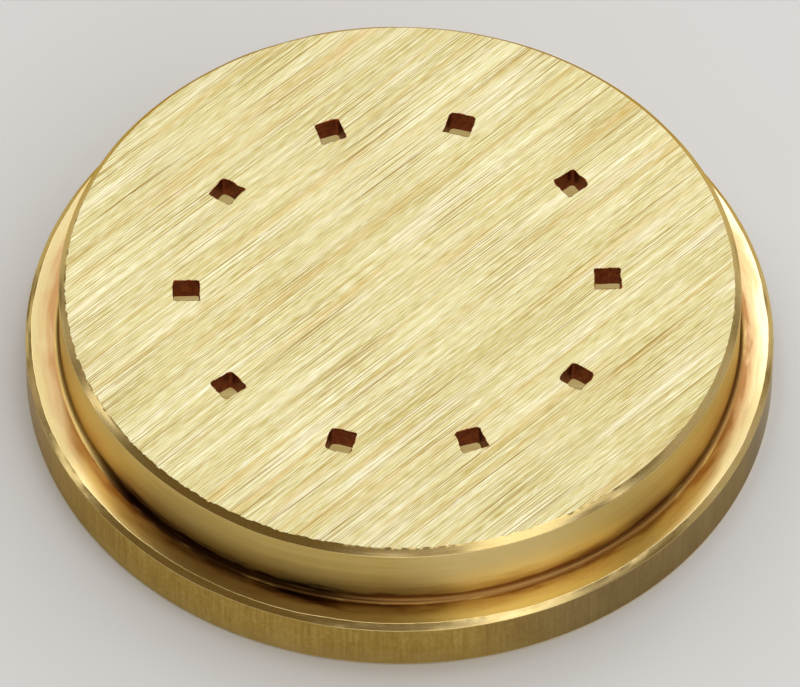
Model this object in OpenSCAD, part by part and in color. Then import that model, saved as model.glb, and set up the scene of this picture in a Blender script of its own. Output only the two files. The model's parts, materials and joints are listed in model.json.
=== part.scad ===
// Extrusion die for a small pasta machine, turned from one piece of brass bar.
// A flanged disc: the boss passes through the machine's ring nut and the nut's lip bears on the shoulder.
// A ring of square forming holes opens in the face. Each is the short end of a passage that starts at
// the back as a wider, flat-bottomed bore, so that the dough flows freely up to the forming edges.
// Millimetres. The underside lies on Z = 0, the axis is Z, and the first passage is on +X.

/* [Flange] */
// Diameter over the flange
flange_d = 55; // [52:0.5:80]
// Height of the flange, from the underside to the shoulder
flange_h = 4.4; // [2:0.1:12]
// Chamfer round the flange's upper edge
rim_chamfer = 0.4; // [0.1:0.1:1]
// Edge break round the underside
seat_chamfer = 0.2; // [0.1:0.1:1]

/* [Boss] */
// Diameter of the boss
boss_d = 50; // [40:0.5:53]
// Height of the boss, from the shoulder to the face
boss_h = 5.6; // [2:0.1:20]
// Chamfer round the face
face_chamfer = 0.5; // [0.1:0.1:1.5]
// Fillet between the boss and the shoulder
root_fillet = 0.4; // [0.1:0.1:1]

/* [Forming holes] */
// Number of passages in the ring
passage_count = 10; // [1:1:13]
// Diameter of the circle through the passages' centres
pitch_d = 31; // [23:0.5:41]
// Side of the square forming holes
hole_side = 1.9; // [0.8:0.1:4]
// Length of a forming hole's walls
land_l = 1.8; // [0.8:0.1:4]

/* [Entry bores] */
// Diameter of the bores sunk from the back
bore_d = 6.5; // [4:0.1:9]
// Countersink at the mouths of the bores
mouth_chamfer = 0.3; // [0.1:0.1:0.8]

/* [Hidden] */
$fn = 128;

// How far cuts run past the faces that they open
overrun = 1;

flange_r = flange_d / 2;
boss_r = boss_d / 2;
die_h = flange_h + boss_h;
bore_r = bore_d / 2;

// The bores stop one land below the face
bore_depth = die_h - land_l;

// Fillet at the foot of the boss, as a square with a quarter of a circle cut out of it
module root_fillet_section() {
    difference() {
        translate([boss_r - root_fillet, flange_h - root_fillet])
            square(2 * root_fillet);
        translate([boss_r + root_fillet, flange_h + root_fillet])
            circle(r = root_fillet);
    }
}

// Half section of the turned blank, from the axis to the rim
module blank_section() {
    polygon([
        [0, 0],
        [flange_r - seat_chamfer, 0],
        [flange_r, seat_chamfer],
        [flange_r, flange_h - rim_chamfer],
        [flange_r - rim_chamfer, flange_h],
        [boss_r, flange_h],
        [boss_r, die_h - face_chamfer],
        [boss_r - face_chamfer, die_h],
        [0, die_h]
    ]);
    root_fillet_section();
}

// Entry bore, with its countersunk mouth and its flat end
module entry_bore() {
    rotate_extrude()
        polygon([
            [0, -overrun],
            [bore_r + mouth_chamfer + overrun, -overrun],
            [bore_r, mouth_chamfer],
            [bore_r, bore_depth],
            [0, bore_depth]
        ]);
}

// Square forming hole, from inside the bore out through the face
module forming_hole() {
    translate([-hole_side / 2, -hole_side / 2, bore_depth - overrun])
        cube([hole_side, hole_side, land_l + 2 * overrun]);
}

// One way through the die for the dough
module passage() {
    entry_bore();
    forming_hole();
}

// The whole die: the turned blank with its ring of passages
module die() {
    color("#c8a850")
        difference() {
            rotate_extrude()
                blank_section();
            for (i = [0 : passage_count - 1])
                rotate(i * 360 / passage_count)
                    translate([pitch_d / 2, 0, 0])
                        passage();
        }
}

die();
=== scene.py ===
import json
import math

import bpy
import numpy as np
from mathutils import Matrix, Vector


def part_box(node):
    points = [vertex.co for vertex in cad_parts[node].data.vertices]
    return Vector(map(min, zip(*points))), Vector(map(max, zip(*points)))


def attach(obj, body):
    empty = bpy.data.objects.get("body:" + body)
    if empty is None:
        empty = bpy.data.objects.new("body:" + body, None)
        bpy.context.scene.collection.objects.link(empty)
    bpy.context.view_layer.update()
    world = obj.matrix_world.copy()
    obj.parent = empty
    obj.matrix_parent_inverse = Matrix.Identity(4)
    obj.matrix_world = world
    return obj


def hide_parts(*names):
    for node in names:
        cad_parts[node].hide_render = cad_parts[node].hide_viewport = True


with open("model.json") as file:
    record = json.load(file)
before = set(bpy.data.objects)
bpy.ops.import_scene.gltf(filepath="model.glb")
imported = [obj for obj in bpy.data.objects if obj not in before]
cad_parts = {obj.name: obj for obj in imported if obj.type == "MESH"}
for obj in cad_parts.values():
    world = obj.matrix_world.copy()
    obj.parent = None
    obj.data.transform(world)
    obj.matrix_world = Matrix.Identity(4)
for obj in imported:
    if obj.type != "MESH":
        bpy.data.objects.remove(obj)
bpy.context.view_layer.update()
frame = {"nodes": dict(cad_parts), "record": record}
record = frame["record"]
mm = 0.001  # sizes below are in millimetres until they go into a mesh or a node
print("frame loaded:", sorted(frame["nodes"]))

# Camera, at the angle that the photograph was taken from

camera = {
    "azimuth": -2.39,            # degrees; 0 looks along +Y
    "elevation": 51.2,
    "roll": 0.65,
    "distance": 940.5,
    "target": (-0.025, -1.478, 4.825),
    "lens": 576.5,               # a long lens, so the circles hardly taper
    "sensor": 36.0,
    "clip": (10.0, 20000.0),     # nearest and furthest that it sees
}


def towards(azimuth, elevation):
    # Unit vector from the origin at the two angles: (sin az cos el, -cos az cos el, sin el).
    az, el = math.radians(azimuth), math.radians(elevation)
    return Vector((math.sin(az) * math.cos(el), -math.cos(az) * math.cos(el), math.sin(el)))


def aimCamera(c):
    # The camera stands at target + distance * back, looks along -back, and is rolled about that line.
    back = towards(c["azimuth"], c["elevation"])
    data = bpy.data.cameras.new("photoCamera")
    data.sensor_width = c["sensor"]
    data.lens = c["lens"]
    data.clip_start, data.clip_end = (limit * mm for limit in c["clip"])
    cam = bpy.data.objects.new("photoCamera", data)
    bpy.context.scene.collection.objects.link(cam)
    roll = Matrix.Rotation(math.radians(c["roll"]), 3, "Z")
    turn = (-back).to_track_quat("-Z", "Y").to_matrix() @ roll
    place = (Vector(c["target"]) + c["distance"] * back) * mm
    cam.matrix_world = Matrix.Translation(place) @ turn.to_4x4()
    bpy.context.scene.camera = cam


aimCamera(camera)
print("camera set")

# Sizes of the die, read from the frame where the frame has them

mounts = {m["name"]: m for m in record["mounts"]}
boreBoxes = [o["box_m"] for o in record["physics"]["openings"] if o["name"].startswith("entry_bore")]
boreCentres = np.array(boreBoxes).mean(1)[:, :2] / mm

die = {
    "flangeR": mounts["flange_rim"]["dims"]["r_mm"],
    "bossR": mounts["boss"]["dims"]["r_mm"],
    "shoulderZ": mounts["shoulder"]["pos_m"][2] / mm,
    "faceZ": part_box("die")[1].z / mm,
    "holeCount": len(boreCentres),
    "pitchR": float(np.hypot(*boreCentres[0])),
    "faceChamfer": 0.5,
    "rimChamfer": 0.4,
    "seatChamfer": 0.2,
    "rootFillet": 0.4,
    "edgeRound": 0.06,           # what is left on a turned edge
    "land": 1.8,                 # length of the square walls
    "boreR": 3.25,
    "mouthChamfer": 0.3,
    # Square holes. Lumps are (how many go round, share) for each layer of noise.
    "holeSide": 1.9,
    "holeCorner": (0.06, 0.34),  # least and most radius in their corners
    "holeEdge": 0.035,           # rounding of their forming edges
    "holeWander": 0.04,          # how uneven their sides are
    "wanderLumps": ((12, 1.0),),
    "holeChips": 0.07,           # chips along their forming edges
    "chipLumps": ((26, 0.6), (60, 0.7)),
    # how far each hole sits from its bore's axis, in x and y, as holes laid out by hand do
    "holeDrift": ((-0.3, 0.05), (0.35, 0.1), (0.1, 0.25), (0.1, -0.15), (0.05, -0.05),
                  (-0.15, -0.25), (-0.25, -0.05), (0.0, 0.2), (-0.1, 0.05), (0.0, 0.05)),
    # Teeth that the strokes draw over the face's edge
    "brushAngle": 42.5,          # degrees from +X to the strokes on the face
    "burr": 0.2,                 # longest teeth
    "burrLumps": ((430, 0.65), (1000, 0.5)),
    "burrPower": 1.4,            # thins the teeth
    "burrNicks": 0.25,           # depth of the nicks between them, as a share of the burr
    "burrGather": 1.5,           # gathers them where the strokes run off the edge
    "burrLeast": 0.1,            # share of the burr that is left elsewhere
    # Drift of the hand-broken edges
    "edgeDrift": 0.04,
    "driftReach": 0.15,          # how far from an edge the drift is felt
    "rimTopLumps": ((70, 1.0), (330, 0.3)),
    "rimFootLumps": ((60, 1.0), (290, 0.2)),
    "faceFootLumps": ((50, 1.0),),
}

# How finely the die is drawn. Shares say where rows lie between two edges, close to an edge to keep it
# crisp.

mesh = {
    "sideSteps": 28,             # points on each side of a hole, and of the cell round it
    "rimSplit": 4,               # rim columns for each point on a cell's outer side
    "cellHalf": 4.6,             # half the radial height of a cell
    "cellShares": (0, 0.03, 0.1, 0.25, 0.5, 0.75, 1),
    "formingSteps": 4,           # rows round a forming edge
    "landShares": (0.04, 0.5, 0.96, 1.0),
    "endShares": (0.03, 0.5, 0.97, 1.0),
    "boreShares": (0.02, 0.5, 0.98, 1.0),
    "support": 0.05,             # rows this close to a turned edge keep the flat runs' normals flat
    "mostSupport": 0.2,          # but no further along a short run than this share
    "rimGap": 0.15,              # least width of the band between the rim's columns and the coarser rings
    "outerRings": 4,
    "innerRings": 6,
    "hub": 6,                    # how many times smaller the innermost ring is than the cells' inner side
    "weldDigits": 8,             # points that agree to this many decimals of a metre become one
    "sharp": 28.0,               # degrees; steeper edges are drawn sharp
    "seed": 7,
}
slotNames = ("face", "wall", "shoulder", "chamfer", "skin", "land", "bore")
slotOf = {name: i for i, name in enumerate(slotNames)}
rng = np.random.default_rng(mesh["seed"])


def ringNoise(columns, knots):
    # Periodic value noise: random heights at evenly spaced knots, joined by cosine steps.
    heights = rng.uniform(-1, 1, knots)
    at = np.arange(columns) * knots / columns
    low = at.astype(int)
    share = (1 - np.cos(math.pi * (at - low))) / 2
    return heights[low % knots] * (1 - share) + heights[(low + 1) % knots] * share


def lumpyRing(columns, layers):
    # Weighted sum of ring noises, each given by its number of lumps and its share.
    return sum(share * ringNoise(columns, lumps) for lumps, share in layers)


def lift(radius, angle, height):
    # Cylinder coordinates to points, (r cos a, r sin a, z), with the three arrays broadcast together.
    r, a, z = np.broadcast_arrays(radius, angle, height)
    return np.stack([r * np.cos(a), r * np.sin(a), z], -1)


class Shell:
    # Gathers grids of points as the faces of one closed mesh.

    def __init__(self):
        self.points, self.faces, self.slots, self.count = [], [], [], 0

    def add(self, points, faces, slot, flip):
        # Faces hold indices into these points, so they move up by the points that are there already.
        points = np.asarray(points, float).reshape(-1, 3)
        self.points.append(points)
        self.faces.append((faces[:, ::-1] if flip else faces) + self.count)
        self.slots.append(np.broadcast_to(slot, len(faces)))
        self.count += len(points)

    def grid(self, points, slot, flip=False):
        # Points are rows by columns by 3. Each cell is a quad, and the last column joins the first.
        # The slot is one number, or one for each band between two rows.
        rows, cols = points.shape[:2]
        low = np.arange(rows - 1)[:, None] * cols
        here = np.arange(cols)[None, :]
        there = (here + 1) % cols
        corners = (low + here, low + there, low + cols + there, low + cols + here)
        quads = np.stack(np.broadcast_arrays(*corners), -1).reshape(-1, 4)
        self.add(points, quads, np.repeat(slot, cols) if np.ndim(slot) else slot, flip)

    def fan(self, ring, centre, slot, flip=False):
        # Triangles from a closed ring to one centre.
        j = np.arange(len(ring))
        tris = np.stack([j, (j + 1) % len(ring), np.full(len(ring), len(ring))], -1)
        self.add(np.vstack([ring, centre]), tris, slot, flip)

    def band(self, coarse, fine, slot, flip=False):
        # Flat polygons that join a coarse ring to one with a whole number of times as many points.
        n, q = len(coarse), len(fine) // len(coarse)
        j = np.arange(n)[:, None]
        fineSide = n + (j * q + np.arange(q + 1)[None, :]) % (n * q)
        self.add(np.vstack([coarse, fine]), np.hstack([(j + 1) % n, j, fineSide]), slot, flip)

    def build(self, name, materials):
        # Points that coincide are welded, so that seams and poles close.
        points = np.round(np.vstack(self.points) * mm, mesh["weldDigits"])
        welded, index = np.unique(points, axis=0, return_inverse=True)
        index = index.ravel()
        data = bpy.data.meshes.new(name)
        data.from_pydata(welded.tolist(), [], [f for group in self.faces for f in index[group].tolist()])
        for material in materials:
            data.materials.append(material)
        data.polygons.foreach_set("material_index", np.concatenate(self.slots).astype(np.int32))
        data.polygons.foreach_set("use_smooth", np.ones(len(data.polygons), bool))
        data.set_sharp_from_angle(angle=math.radians(mesh["sharp"]))
        data.update()
        piece = bpy.data.objects.new(name, data)
        bpy.context.scene.collection.objects.link(piece)
        return piece


def squareLoop(half, corners, steps):
    # Round a square: evenly spaced points on four sides, pulled on to a corner's arc where they lie in one.
    side = (2 * np.arange(steps) / steps - 1) * half
    full = np.full(steps, half)
    x = np.concatenate([full, -side, -full, side])
    y = np.concatenate([side, full, -side, -full])
    p = np.stack([x, y], -1)
    corner = corners[(x < 0) + 2 * (y < 0), None]
    core = np.clip(p, corner - half, half - corner)
    out = p - core
    return core + corner * out / np.linalg.norm(out, axis=1, keepdims=True)


def cellLoop(inner, outer, halfAngle, steps):
    # Round one cell of the ring of holes: its outer, left, inner and right sides, as radii and angles.
    f = np.arange(steps) / steps
    one = np.ones(steps)
    r = np.concatenate([outer * one, outer + (inner - outer) * f, inner * one, inner + (outer - inner) * f])
    a = np.concatenate([2 * f - 1, one, 1 - 2 * f, -one]) * halfAngle
    return r, a


def halfSection(d):
    # The turned section from the face's edge to the underside. Each corner is an arc of points about a
    # centre, from its first to its last angle, and each run between two arcs has a few rows of its own.
    edge = d["edgeRound"]
    bite = edge * math.tan(math.pi / 8)   # how far a rounded edge of 45 degrees eats into its runs
    rimR, bossR, fillet = d["flangeR"], d["bossR"], d["rootFillet"]
    stepZ, topZ = d["shoulderZ"], d["faceZ"]
    faceCut, rimCut, seatCut = d["faceChamfer"], d["rimChamfer"], d["seatChamfer"]
    # centre r and z, radius, first and last angle, points, the arc's slot, and the slot and the number of
    # extra rows of the run after it
    arcs = (
        (bossR - faceCut, topZ, 0, 45, 45, 1, "chamfer", "chamfer", 3),
        (bossR - edge, topZ - faceCut - bite, edge, 45, 0, 4, "chamfer", "wall", 1),
        (bossR + fillet, stepZ + fillet, fillet, 180, 270, 9, "wall", "shoulder", 1),
        (rimR - rimCut - bite, stepZ - edge, edge, 90, 45, 4, "chamfer", "chamfer", 2),
        (rimR - edge, stepZ - rimCut - bite, edge, 45, 0, 4, "chamfer", "skin", 1),
        (rimR - edge, seatCut + bite, edge, 0, -45, 3, "chamfer", "chamfer", 1),
        (rimR - seatCut - bite, edge, edge, -45, -90, 3, "chamfer", "wall", 0),
    )
    rows, slots = [], []
    for n, (centreR, centreZ, radius, first, last, steps, arcSlot, runSlot, fill) in enumerate(arcs):
        a = np.radians(np.linspace(first, last, steps))
        arc = np.stack([centreR + radius * np.cos(a), centreZ + radius * np.sin(a)], -1)
        if n:
            run = arc[0] - rows[-1][-1]
            lead = min(mesh["support"] / np.linalg.norm(run), mesh["mostSupport"])
            shares = np.linspace(lead, 1 - lead, fillBefore + 2)
            rows.append(rows[-1][-1] + shares[:, None] * run)
            slots += [slotBefore] * len(shares)
        rows.append(arc)
        slots += [arcSlot] * (steps - 1) + [runSlot]
        slotBefore, fillBefore = runSlot, fill
    return np.vstack(rows), np.array([slotOf[s] for s in slots[:-1]])


def edgeWander(d, section, columns):
    # Offsets in r and z for the rows near each edge: teeth along the face's own edge where the strokes run
    # off it, and a slow drift of the chamfers' edges, fading as exp(-(distance / reach)^2).
    angle = np.arange(columns) * 2 * math.pi / columns
    runOff = np.clip(np.cos(angle - math.radians(d["brushAngle"] + 180)), 0, 1)
    leave = runOff ** d["burrGather"] * (1 - d["burrLeast"]) + d["burrLeast"]
    raw = lumpyRing(columns, d["burrLumps"])
    teeth = np.clip(raw, 0, 1) ** d["burrPower"] - d["burrNicks"] * np.clip(-raw, 0, 1)

    def nearness(*offsets):
        # 1 on an edge, falling as a bell with the distance that the offsets make.
        return np.exp(-sum(offset ** 2 for offset in offsets) / d["driftReach"] ** 2)

    r, z = section[:, :1], section[:, 1:]
    atRimTop = nearness(r - d["flangeR"] + d["rimChamfer"], z - d["shoulderZ"])
    atRimFoot = nearness(r - d["flangeR"], z - d["shoulderZ"] + d["rimChamfer"])
    atFaceFoot = nearness(z - d["faceZ"] + d["faceChamfer"])
    rimTop = atRimTop * lumpyRing(columns, d["rimTopLumps"])
    rimFoot = atRimFoot * lumpyRing(columns, d["rimFootLumps"])
    faceFoot = atFaceFoot * lumpyRing(columns, d["faceFootLumps"])
    dr = d["edgeDrift"] * rimTop
    dz = d["edgeDrift"] * (faceFoot + rimFoot)
    dr[0] += d["burr"] * leave * teeth
    return dr, dz


def passageRows(d, loop, mouthLoop):
    # One passage, from its mouth in the face down to the underside, as rows round its bore's axis: a
    # rounded forming edge, which turns the mouth's loop into the hole's by cosine and sine, the land, the
    # bore's flat end, where the loop grows to a circle, the bore and its countersunk mouth.
    rounding, topZ, boreR, mouthCut = d["holeEdge"], d["faceZ"], d["boreR"], d["mouthChamfer"]
    endZ = topZ - d["land"]
    landZ = topZ - rounding
    bend = np.radians(np.linspace(90, 0, mesh["formingSteps"]))
    forming = [(mouthLoop * (1 - inward) + loop * inward, landZ + rounding * upward)
               for inward, upward in zip(np.cos(bend), np.sin(bend))]
    land = [(loop, landZ + share * (endZ - landZ)) for share in mesh["landShares"]]
    reach = np.linalg.norm(loop, axis=1, keepdims=True)
    unit = loop / reach
    flatEnd = [(unit * (reach + share * (boreR - reach)), endZ) for share in mesh["endShares"]]
    bore = [(unit * boreR, endZ + share * (mouthCut - endZ)) for share in mesh["boreShares"]]
    mouth = [(unit * (boreR + mouthCut), 0.0)]
    rows = forming + land + flatEnd + bore + mouth
    points = np.stack([np.column_stack([xy, np.full(len(xy), z)]) for xy, z in rows])
    onLand = np.arange(len(rows) - 1) < len(forming) + len(land) - 1
    return points, np.where(onLand, slotOf["land"], slotOf["bore"])


def buildDie(d, materials):
    # The turned section swept round the axis, a passage for each hole with a cell of face and underside
    # round it, and plain rings that fill the face and the underside outside and inside the cells.
    shell = Shell()
    steps, count = mesh["sideSteps"], d["holeCount"]
    coarse = count * steps
    columns = coarse * mesh["rimSplit"]
    coarseAngle = np.arange(coarse) * 2 * math.pi / coarse
    fineAngle = np.arange(columns) * 2 * math.pi / columns

    section, rowSlots = halfSection(d)
    dr, dz = edgeWander(d, section, columns)
    rim = lift(section[:, :1] + dr, fineAngle, section[:, 1:] + dz)
    rim[0, :, 2], rim[-1, :, 2] = d["faceZ"], 0.0
    shell.grid(rim, rowSlots, flip=True)

    inner, outer = d["pitchR"] - mesh["cellHalf"], d["pitchR"] + mesh["cellHalf"]
    cellR, cellA = cellLoop(inner, outer, math.pi / count, steps)
    half, rounding, around = d["holeSide"] / 2, d["holeEdge"], 4 * steps
    shares = np.array(mesh["cellShares"])[:, None, None]
    for (x, y), drift in zip(boreCentres, d["holeDrift"]):
        turn = math.atan2(y, x)
        axes = np.array([[math.cos(turn), math.sin(turn)], [-math.sin(turn), math.cos(turn)]])
        offset = axes @ drift
        corners = rng.uniform(*d["holeCorner"], 4)
        uneven = 1 + d["holeWander"] / half * lumpyRing(around, d["wanderLumps"])[:, None]
        chips = d["holeChips"] / half * np.clip(lumpyRing(around, d["chipLumps"]), 0, 1)[:, None]
        loop = squareLoop(half, corners, steps) * uneven + offset
        mouth = squareLoop(half + rounding, corners + rounding, steps) * (uneven + chips) + offset
        passage, passageSlots = passageRows(d, loop, mouth)
        passage[..., :2] = passage[..., :2] @ axes + (x, y)
        shell.grid(passage, passageSlots)
        for row, z, slot, flip in ((0, d["faceZ"], "face", True), (-1, 0.0, "wall", False)):
            edge = lift(cellR, cellA + turn, z)
            shell.grid(passage[row] * (1 - shares) + edge * shares, slotOf[slot], flip)

    for ring, z, slot, top in ((rim[0], d["faceZ"], "face", True), (rim[-1], 0.0, "wall", False)):
        reach = np.hypot(ring[:, 0], ring[:, 1]).min() - mesh["rimGap"]
        outward = np.linspace(outer, reach, mesh["outerRings"])[:, None]
        inward = np.linspace(inner, inner / mesh["hub"], mesh["innerRings"])[:, None]
        shell.grid(lift(outward, coarseAngle, z), slotOf[slot], flip=top)
        shell.band(lift(reach, coarseAngle, z), ring, slotOf[slot], flip=not top)
        shell.grid(lift(inward, coarseAngle, z), slotOf[slot], flip=not top)
        shell.fan(lift(inward[-1], coarseAngle, z), (0, 0, z), slotOf[slot], flip=not top)
    return shell.build("brassDie", materials)


# Finishes. All the metal is one leaded brass, and each finish is named for how its surface was made.

def linear(hexColour):
    # sRGB hex to linear: c / 12.92 below 0.04045, else ((c + 0.055) / 1.055) ^ 2.4.
    c = np.array([int(hexColour[i:i + 2], 16) for i in (1, 3, 5)]) / 255
    return (*np.where(c <= 0.04045, c / 12.92, ((c + 0.055) / 1.055) ** 2.4).tolist(), 1.0)


def addNode(tree, kind, inputs=(), stops=(), **settings):
    # One node: its settings, then its inputs, each a value or the socket that feeds it, then a ramp's
    # stops, each a place with a hex colour or a grey level.
    node = tree.nodes.new(kind)
    for key, value in settings.items():
        setattr(node, key, value)
    for key, value in dict(inputs).items():
        if isinstance(value, bpy.types.NodeSocket):
            tree.links.new(value, node.inputs[key])
        else:
            node.inputs[key].default_value = value
    for n, (place, tone) in enumerate(stops):
        if n >= len(node.color_ramp.elements):
            node.color_ramp.elements.new(1.0)
        node.color_ramp.elements[n].position = place
        node.color_ramp.elements[n].color = linear(tone) if isinstance(tone, str) else (tone, tone, tone, 1)
    return node


def newMaterial(name):
    # An empty material, its tree, and Object coordinates in millimetres.
    material = bpy.data.materials.new(name)
    material.use_nodes = True
    tree = material.node_tree
    tree.nodes.clear()
    place = addNode(tree, "ShaderNodeTexCoord").outputs["Object"]
    inMm = addNode(tree, "ShaderNodeVectorMath", {0: place, "Scale": 1 / mm}, operation="SCALE").outputs[0]
    return material, tree, inMm


def layered(tree, layers, coordsOf):
    # Weighted sum of noises about 0.5. A layer is what coordsOf needs, then its detail and its share.
    total = 0.5 - 0.5 * sum(layer[-1] for layer in layers)
    for *shape, detail, share in layers:
        noise = addNode(tree, "ShaderNodeTexNoise", {
            "Vector": coordsOf(*shape), "Scale": 1.0, "Detail": detail}).outputs[0]
        total = addNode(tree, "ShaderNodeMath", {0: noise, 1: share, 2: total},
                        operation="MULTIPLY_ADD").outputs[0]
    return total


def brassShader(tree, colour, roughness, bump, anisotropy=0.0, across=0.0, edge="#FFFFFF", **more):
    # The end of every finish: a metal with its grooves, its sheen drawn out along or across the tangent,
    # and the tint that it takes when it is seen along the surface.
    shader = addNode(tree, "ShaderNodeBsdfPrincipled", {
        "Base Color": colour, "Metallic": 1.0, "Roughness": roughness, "Anisotropic": anisotropy,
        "Anisotropic Rotation": across, "Specular Tint": linear(edge), "Normal": bump, **more})
    addNode(tree, "ShaderNodeOutputMaterial", {"Surface": shader.outputs[0]})


# Face: brass linished on a belt. Long straight strokes, pale where they catch the light and golden in the
# troughs, with tan and white bands, thin olive scratches and white flecks. The strokes are some 0.03 mm
# wide, drawn more than twice as coarse so that they show.

linished = {
    # turn from the brush angle, length and width in mm, detail, share
    "strokes": ((0.0, 22.0, 0.07, 2.0, 0.8), (1.0, 1.2, 0.07, 0.0, 0.45), (0.8, 12.0, 0.08, 1.0, 0.35),
                (-0.6, 26.0, 0.45, 1.0, 0.2), (0.3, 40.0, 2.2, 1.0, 0.2)),
    "grooves": ((0.0, 12.0, 0.14, 0.0, 1.0),),
    # turn, length, width and detail of a noise, heights where a mark starts and is full, strength, colour
    "marks": (
        (0.5, 18.0, 0.8, 2.0, 0.52, 0.74, 0.5, "#CFAC66"),       # tan bands
        (1.4, 12.0, 1.1, 2.0, 0.55, 0.75, 0.5, "#F0ECD6"),       # white bands
        (0.6, 16.0, 0.08, 0.0, 0.62, 0.76, 0.9, "#9E8444"),      # olive scratches
        (-0.8, 13.0, 0.07, 0.0, 0.63, 0.77, 0.9, "#9E8444"),
        (0.8, 1.5, 0.10, 0.0, 0.68, 0.86, 0.7, "#F0ECD6"),       # white flecks
    ),
    "tones": ((0.18, "#AB954E"), (0.36, "#C8BA7A"), (0.5, "#D7D09D"), (0.64, "#E1DDB5"), (0.84, "#EFF0E2")),
    "roughness": (0.38, 0.28),   # in the troughs and on the strokes that shine
    "roughTones": (0.3, 0.7),    # the tones of those two
    "groove": 0.0012,            # depth in mm
    "anisotropy": 0.5,
}


def linishedFace(s):
    # Tone = noises drawn out along the strokes, and a ramp gives its colour. A mark covers it where the
    # mark's own noise is high, and the roughness falls as the tone rises.
    material, tree, inMm = newMaterial("brass linished on a belt")
    brush = math.radians(die["brushAngle"])

    def alongStrokes(turn, length, width):
        # Coordinates turned with the strokes, on which a noise's lumps have this length and width.
        return addNode(tree, "ShaderNodeMapping", {
            "Vector": inMm, "Rotation": (0, 0, brush + math.radians(turn)),
            "Scale": (length, width, width)}, vector_type="TEXTURE").outputs[0]

    tone = layered(tree, s["strokes"], alongStrokes)
    colour = addNode(tree, "ShaderNodeValToRGB", {"Fac": tone}, s["tones"]).outputs[0]
    for turn, length, width, detail, start, full, strength, tint in s["marks"]:
        depth = addNode(tree, "ShaderNodeMapRange", {
            "Value": layered(tree, ((turn, length, width, detail, 1.0),), alongStrokes),
            "From Min": start, "From Max": full, "To Max": strength}).outputs[0]
        colour = addNode(tree, "ShaderNodeMix", {0: depth, 6: colour, 7: linear(tint)},
                         data_type="RGBA").outputs[2]
    groove = addNode(tree, "ShaderNodeBump", {
        "Height": layered(tree, s["grooves"], alongStrokes), "Distance": s["groove"] * mm}).outputs[0]
    rough = addNode(tree, "ShaderNodeMapRange", {
        "Value": tone, "From Min": s["roughTones"][0], "From Max": s["roughTones"][1],
        "To Min": s["roughness"][0], "To Max": s["roughness"][1]}).outputs[0]
    along = addNode(tree, "ShaderNodeCombineXYZ", {0: math.cos(brush), 1: math.sin(brush)}).outputs[0]
    brassShader(tree, colour, rough, groove, s["anisotropy"], Tangent=along)
    return material


# Wall, fillet and underside: brass turned on a lathe. Fine rings round the axis, a satin sheen across them,
# and layers of tarnish out of the root of the step: a brown creep, a line in the fillet and a black core.
# Two pale patches on the wall are painted highlights for lamps that would be reflected there.

turnedWall = {
    "name": "brass turned on a lathe",
    # ring pitch and reach along the ring in mm, detail, share; feed marks are drawn twice as coarse as real
    "rings": ((0.10, 7.0, 1.0, 0.35), (0.35, 14.0, 1.0, 0.35), (1.6, 9.0, 1.0, 0.4)),
    "tones": ((0.25, "#CEB262"), (0.5, "#DCC275"), (0.75, "#E8D28C")),
    "roughness": 0.34,
    "groove": 0.001,
    "anisotropy": 0.45,
    "across": 0.25,              # a quarter of a turn
    "edge": "#E8DCC0",
    "patches": ((0.5, 3.0, 2.0, 1.0),),
    "ragged": 1.6,               # mm by which the patches push a film's front to and fro
    # colour, mm from the root where a film is full and where it is gone, and its strength at degrees right
    # of the front; the first two are painted highlights, pale patches for lamps reflected there
    "filmsAndPaintedLight": (
        # painted highlight: pale gold over the wall at the left, for a bright lamp reflected there
        ("#F6DC8C", 9.0, 10.0, ((-80, 0), (-70, 0.9), (-62, 0.9), (-56, 0))),
        # painted highlight: pale over the upper wall at the front right, for the front right lamp reflected
        # there
        ("#F8E3A0", 2.2, 0.8, ((-4, 0), (8, 0.75), (22, 0.75), (36, 0.15), (60, 0))),
        ("#5A1A06", 0.2, 1.7, ((-180, 0.2), (-95, 0.2), (-70, 0.1), (-60, 0.35), (-52, 0.95), (-40, 0.65),
                               (-25, 0.3), (8, 0.15), (34, 0.55), (50, 0.25), (70, 0.05), (180, 0.05))),
        ("#976A3A", 0.42, 0.75, ((-180, 0.85), (-100, 0.3), (-62, 0.3), (-55, 0.85), (180, 0.85))),
        ("#241008", 0.3, 0.9, ((-66, 0), (-60, 0.6), (-53, 1), (-40, 0.9), (-15, 0.8), (-2, 0))),
    ),
}

# Shoulder: faced with a finer feed, so it mirrors more sharply. It is pale where it is clean, and paler
# still on the right, where that is a painted highlight.

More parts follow.
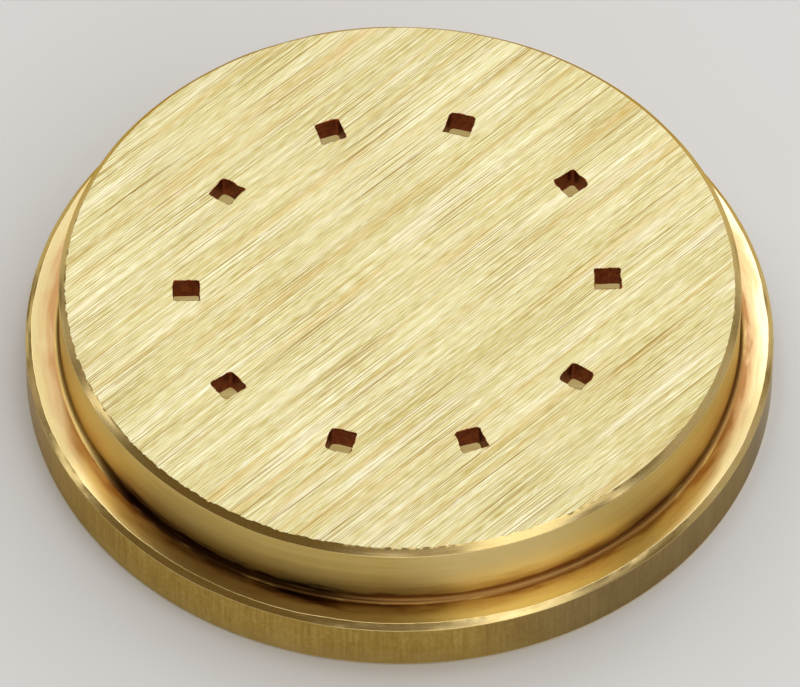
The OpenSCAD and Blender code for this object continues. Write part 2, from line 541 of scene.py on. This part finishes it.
facedShoulder = {
    **turnedWall,
    "name": "brass faced on a lathe",
    "rings": ((0.08, 7.0, 1.0, 0.3), (0.30, 14.0, 1.0, 0.4), (1.6, 9.0, 1.0, 0.4)),
    "tones": ((0.25, "#DCC68C"), (0.5, "#E6D29C"), (0.75, "#EEDDAE")),
    "roughness": 0.2,
    "anisotropy": 0.3,
    # as on the wall, after a painted highlight, a pale patch on the right, and a dull film at both sides
    "filmsAndPaintedLight": (
        # painted highlight: pale cream on the right, for a bright lamp mirrored there
        ("#F0E8CE", 2.0, 1.2, ((-180, 0), (75, 0), (88, 0.7), (140, 0.7), (180, 0))),
        ("#94865A", 9.0, 10.0, ((-180, 0), (-140, 0.3), (-100, 0.6), (-66, 0.55), (-60, 0),
                                (45, 0), (55, 0.3), (65, 0.5), (72, 0.4), (82, 0), (180, 0))),
        ("#9A4E1C", 0.2, 1.9, ((-180, 0.5), (-72, 0.5), (-60, 0.8), (-48, 0.65), (-38, 0.45), (-20, 1.0),
                               (0, 0.55), (10, 0.62), (25, 0.7), (45, 0.4), (60, 0.62), (72, 0.65),
                               (180, 0.45))),
        ("#976A3A", 0.42, 0.8, ((-180, 0.75), (-100, 0.3), (-62, 0.3), (-55, 0.75), (180, 0.75))),
        ("#241008", 0.5, 1.3, ((-50, 0), (-38, 0.15), (-26, 0.8), (-20, 1), (-14, 0.7), (-4, 0))),
    ),
}

# Chamfers: cut with a sharp tool and handled bare, so brighter than the wall, with shallow rings, which
# are drawn coarser than the tool leaves them so that they show.

cutEdge = {
    **turnedWall,
    "name": "brass cut with a sharp tool",
    "rings": ((0.15, 8.0, 1.0, 0.35), (0.4, 12.0, 1.0, 0.35), (1.2, 1.6, 1.0, 0.35)),
    "tones": ((0.25, "#EBCF86"), (0.5, "#F2DA97"), (0.75, "#F8E5AE")),
    "roughness": 0.24,
    "groove": 0.0004,
    "anisotropy": 0.2,
    "edge": "#C9A55A",
    "filmsAndPaintedLight": (),
}


def roundTheAxis(tree, inMm):
    # The point in the half section (r, z), its bearing, which is 0 at the front and grows to the right, and
    # a function that stretches noise along rings: it changes quickly with r - z, so on walls, flats and
    # upper chamfers alike, and slowly round the axis.
    x, y, z = addNode(tree, "ShaderNodeSeparateXYZ", {0: inMm}).outputs
    flat = addNode(tree, "ShaderNodeVectorMath", {0: inMm, 1: (1, 1, 0)}, operation="MULTIPLY").outputs[0]
    radius = addNode(tree, "ShaderNodeVectorMath", {0: flat}, operation="LENGTH").outputs["Value"]
    section = addNode(tree, "ShaderNodeCombineXYZ", {0: radius, 1: z}).outputs[0]
    forward = addNode(tree, "ShaderNodeMath", {0: y, 1: -1.0}, operation="MULTIPLY").outputs[0]
    bearing = addNode(tree, "ShaderNodeMath", {0: x, 1: forward}, operation="ARCTAN2").outputs[0]
    acrossRings = addNode(tree, "ShaderNodeMath", {0: radius, 1: z}, operation="SUBTRACT").outputs[0]
    place = addNode(tree, "ShaderNodeCombineXYZ", {0: acrossRings, 1: x, 2: y}).outputs[0]

    def alongRings(pitch, reach):
        # Coordinates over the ring's pitch and over its reach along the ring.
        return addNode(tree, "ShaderNodeVectorMath", {0: place, 1: (1 / pitch, 1 / reach, 1 / reach)},
                       operation="MULTIPLY").outputs[0]

    return section, bearing, alongRings


def layFilmsAndPaintedLight(tree, inMm, colour, s):
    # Lays layers of tarnish, painted light and painted shade over a colour. Depth = how near the root of the
    # step, on a ragged front, times the strength at the bearing.
    section, bearing, alongRings = roundTheAxis(tree, inMm)
    share = addNode(tree, "ShaderNodeMapRange", {
        "Value": bearing, "From Min": -math.pi, "From Max": math.pi}).outputs[0]
    root = (die["bossR"], die["shoulderZ"], 0)
    gap = addNode(tree, "ShaderNodeVectorMath", {0: section, 1: root},
                  operation="DISTANCE").outputs["Value"]
    push = addNode(tree, "ShaderNodeMath", {0: layered(tree, s["patches"], alongRings), 1: 0.5},
                   operation="SUBTRACT").outputs[0]
    gap = addNode(tree, "ShaderNodeMath", {0: push, 1: s["ragged"], 2: gap},
                  operation="MULTIPLY_ADD").outputs[0]
    for tint, full, gone, strengths in s["filmsAndPaintedLight"]:
        near = addNode(tree, "ShaderNodeMapRange", {"Value": gap, "From Min": gone, "From Max": full},
                       interpolation_type="SMOOTHSTEP").outputs[0]
        stops = [(0.5 + degrees / 360, strength) for degrees, strength in strengths]
        strength = addNode(tree, "ShaderNodeValToRGB", {"Fac": share}, stops).outputs[0]
        depth = addNode(tree, "ShaderNodeMath", {0: near, 1: strength}, operation="MULTIPLY").outputs[0]
        colour = addNode(tree, "ShaderNodeMix", {0: depth, 6: colour, 7: linear(tint)},
                         data_type="RGBA").outputs[2]
    return colour


def turnedBrass(s):
    # Tones from rings of noise and grooves from the finest of them, then tarnish and painted highlights, and
    # a sheen drawn out across the rings.
    material, tree, inMm = newMaterial(s["name"])
    alongRings = roundTheAxis(tree, inMm)[2]
    tone = layered(tree, s["rings"], alongRings)
    colour = addNode(tree, "ShaderNodeValToRGB", {"Fac": tone}, s["tones"]).outputs[0]
    groove = addNode(tree, "ShaderNodeBump", {
        "Height": layered(tree, s["rings"][:1], alongRings), "Distance": s["groove"] * mm}).outputs[0]
    if s["filmsAndPaintedLight"]:
        colour = layFilmsAndPaintedLight(tree, inMm, colour, s)
    brassShader(tree, colour, s["roughness"], groove, s["anisotropy"], s["across"], s["edge"])
    return material


# Outer wall of the flange: the bar's own drawn skin, dull, with lines along the axis, painted shade in grey
# and brown to the right and painted light towards the foot. The lines are a tenth of a millimetre wide or
# less, drawn at least twice as coarse so that they show.

drawnSkin = {
    "name": "brass bar skin as drawn",
    # width and height of the grain in mm, detail, share
    "grain": ((0.22, 5.0, 1.0, 0.4), (0.3, 0.35, 2.0, 0.35), (4.0, 4.0, 2.0, 0.4)),
    "tones": ((0.25, "#9A7B38"), (0.5, "#BC9C4E"), (0.75, "#D3B86A")),
    "roughness": 0.24,
    "groove": 0.001,
    "edge": "#EADFCC",
    "patches": ((1.5, 2.5, 2.0, 1.0),),
    "ragged": 2.0,
    # as on the wall: painted shade in grey and brown to the right, and painted light, paler towards the foot
    "filmsAndPaintedLight": (
        # painted shade: grey over the front right, for darker surroundings reflected there
        ("#6C6462", 9.0, 10.0, ((8, 0), (25, 0.45), (45, 0.5), (56, 0.5), (66, 0))),
        # painted shade: brown over the right and back, for darker surroundings reflected there
        ("#64583C", 9.0, 10.0, ((54, 0), (70, 0.8), (80, 0.5), (100, 0.5), (180, 0.2))),
        # painted light: paler towards the foot, offsetting the floor's contact shadow that the skin reflects
        ("#D8C07E", 5.4, 3.2, ((-80, 0), (-55, 0.6), (10, 0.6), (30, 0))),
    ),
}

# Square holes: brass broached through. Their narrow walls are painted dark red-brown in blotches, which is
# painted shade for the dark walls that they reflect inside the holes.

broachedLand = {
    "name": "brass broached, with painted shade",
    "grain": ((0.14, 0.2, 1.0, 0.5), (0.5, 0.6, 2.0, 0.7)),
    # painted shade: the dark red-brown tones stand for the shade inside the narrow holes
    "tones": ((0.25, "#6E3218"), (0.5, "#8C4522"), (0.75, "#A96232")),
    "roughness": 0.45,
    "groove": 0.006,
    "edge": "#FFFFFF",
    "filmsAndPaintedLight": (),
}

# Entry bores: brass as the cutter leaves it, with rings round each bore.

milledBore = {
    "name": "brass as end milled",
    "grain": ((2.5, 0.12, 1.0, 0.5), (2.5, 0.6, 1.0, 0.5)),
    "tones": ((0.25, "#D3B873"), (0.5, "#E2CE92"), (0.75, "#EEDFAE")),
    "roughness": 0.4,
    "groove": 0.003,
    "edge": "#E2CE92",
    "filmsAndPaintedLight": (),
}


def grainedBrass(s):
    # Tones and grooves from the same layers of noise, each with its own width and height, then painted light
    # and shade.
    material, tree, inMm = newMaterial(s["name"])

    def grain(wide, high):
        # Coordinates over the grain's width in x and y and over its height in z.
        return addNode(tree, "ShaderNodeVectorMath", {0: inMm, 1: (1 / wide, 1 / wide, 1 / high)},
                       operation="MULTIPLY").outputs[0]

    tone = layered(tree, s["grain"], grain)
    colour = addNode(tree, "ShaderNodeValToRGB", {"Fac": tone}, s["tones"]).outputs[0]
    groove = addNode(tree, "ShaderNodeBump", {"Height": tone, "Distance": s["groove"] * mm}).outputs[0]
    if s["filmsAndPaintedLight"]:
        colour = layFilmsAndPaintedLight(tree, inMm, colour, s)
    brassShader(tree, colour, s["roughness"], groove, edge=s["edge"])
    return material


finishes = {
    "face": linishedFace(linished),
    "wall": turnedBrass(turnedWall),
    "shoulder": turnedBrass(facedShoulder),
    "chamfer": turnedBrass(cutEdge),
    "skin": grainedBrass(drawnSkin),
    "land": grainedBrass(broachedLand),
    "bore": grainedBrass(milledBore),
}
print("finishes made:", len(finishes))

piece = buildDie(die, [finishes[name] for name in slotNames])
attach(piece, "root")
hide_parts("die")
print("die built:", len(piece.data.vertices), "points,", len(piece.data.polygons), "faces")

# Floor and light

stage = {
    "floorSize": 3000.0,
    "floorColour": "#F2F5FA",
    "floorRoughness": 0.9,
    "floorSpecular": 0.2,
    "worldColour": "#FFD890",    # a dim warm room beyond the lamps
    "world": 0.13,
    # azimuth (as the camera's), elevation, distance, width and height in mm, radiance
    "softboxes": {
        "backLeft": (-140, 47, 700, 620, 400, 1.3),
        "back": (180, 47, 700, 260, 400, 0.6),
        "backRight": (138, 47, 700, 620, 400, 1.2),
        "backRightLow": (150, 18, 700, 340, 375, 0.8),
        "right": (98, 30, 700, 440, 700, 0.32),
        "frontRight": (45, 45, 700, 490, 400, 1.2),
        "frontLow": (14, 18, 700, 740, 375, 0.85),
        "leftLow": (-118, 10, 700, 120, 150, 0.4),
        "leftStrip": (-98, 18, 700, 130, 150, 1.5),
        "overhead": (180, 90, 700, 420, 420, 1.7),
    },
    "lampUnder": 0.6,            # radiance of the light that comes up through the bores
    "lampUnderZ": 0.05,          # its height over the floor
}


def layFloor(s):
    # One square sheet at z = 0, centred under the die.
    half = s["floorSize"] / 2 * mm
    corners = [(-half, -half, 0), (half, -half, 0), (half, half, 0), (-half, half, 0)]
    data = bpy.data.meshes.new("floor")
    data.from_pydata(corners, [], [(0, 1, 2, 3)])
    material, tree = newMaterial("pale studio floor")[:2]
    shader = addNode(tree, "ShaderNodeBsdfPrincipled", {
        "Base Color": linear(s["floorColour"]), "Roughness": s["floorRoughness"],
        "Specular IOR Level": s["floorSpecular"]})
    addNode(tree, "ShaderNodeOutputMaterial", {"Surface": shader.outputs[0]})
    data.materials.append(material)
    floor = bpy.data.objects.new("floor", data)
    bpy.context.scene.collection.objects.link(floor)


def hangLamp(name, shape, width, height, radiance, place, facing):
    # A flat lamp that shines along facing. Watts = radiance * pi * area.
    data = bpy.data.lights.new(name, "AREA")
    data.shape = shape
    data.size, data.size_y = width * mm, height * mm
    area = data.size * data.size_y * (math.pi / 4 if shape == "DISK" else 1)
    data.energy = radiance * math.pi * area
    lamp = bpy.data.objects.new(name, data)
    turn = (-facing).to_track_quat("Z", "Y").to_matrix()
    lamp.matrix_world = Matrix.Translation(place * mm) @ turn.to_4x4()
    bpy.context.scene.collection.objects.link(lamp)


def lightStage(s):
    # Softboxes stand at distance * away and shine along -away, a disc under the bores shines up through
    # them, and the world is one dim colour.
    for name, (azimuth, elevation, distance, width, height, radiance) in s["softboxes"].items():
        away = towards(azimuth, elevation)
        hangLamp(name, "RECTANGLE", width, height, radiance, away * distance, -away)
    across = 2 * (die["pitchR"] + die["boreR"])
    place, up = Vector((0, 0, s["lampUnderZ"])), Vector((0, 0, 1))
    hangLamp("underLamp", "DISK", across, across, s["lampUnder"], place, up)
    world = bpy.data.worlds.new("studio")
    world.use_nodes = True
    tree = world.node_tree
    tree.nodes.clear()
    sky = addNode(tree, "ShaderNodeBackground", {"Color": linear(s["worldColour"]), "Strength": s["world"]})
    addNode(tree, "ShaderNodeOutputWorld", {"Surface": sky.outputs[0]})
    bpy.context.scene.world = world
    bpy.context.scene.view_settings.view_transform = "Standard"


layFloor(stage)
lightStage(stage)
print("stage lit")
